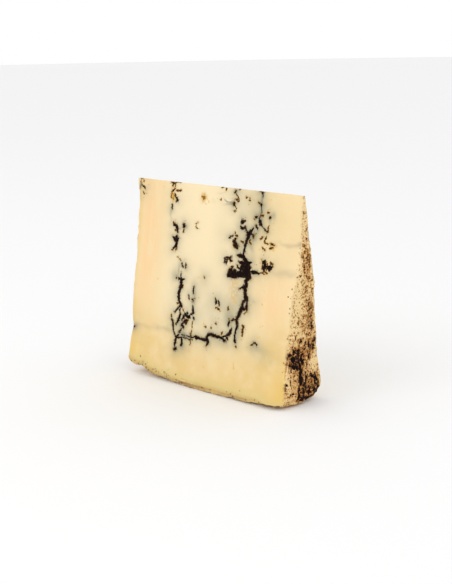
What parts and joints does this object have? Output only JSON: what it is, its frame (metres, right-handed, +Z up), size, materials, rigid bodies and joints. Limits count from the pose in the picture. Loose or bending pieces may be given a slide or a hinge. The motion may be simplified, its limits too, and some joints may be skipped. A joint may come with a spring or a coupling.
{
  "type": "cheese wedge",
  "caption": "Cut wedge of hard sheep's milk cheese with dark truffle veins and a cloth-marked rind, standing on its curved side with the thin edge up.",
  "frame": {"origin": "centre of the footprint, on the surface that the wedge stands on", "axes": "+X along the wheel's axis towards the wide rind side, +Y away from the front cut face, +Z up towards the thin edge"},
  "size_m": [0.1184, 0.035, 0.1041],
  "materials": {
    "cheese": "waxy ivory cut faces with near-black truffle veins in grey-green halos; tan rind pressed with rows of dark cloth marks"
  },
  "bodies": {
    "root": {"cheese_wedge": "cheese"}
  },
  "joints": []
}
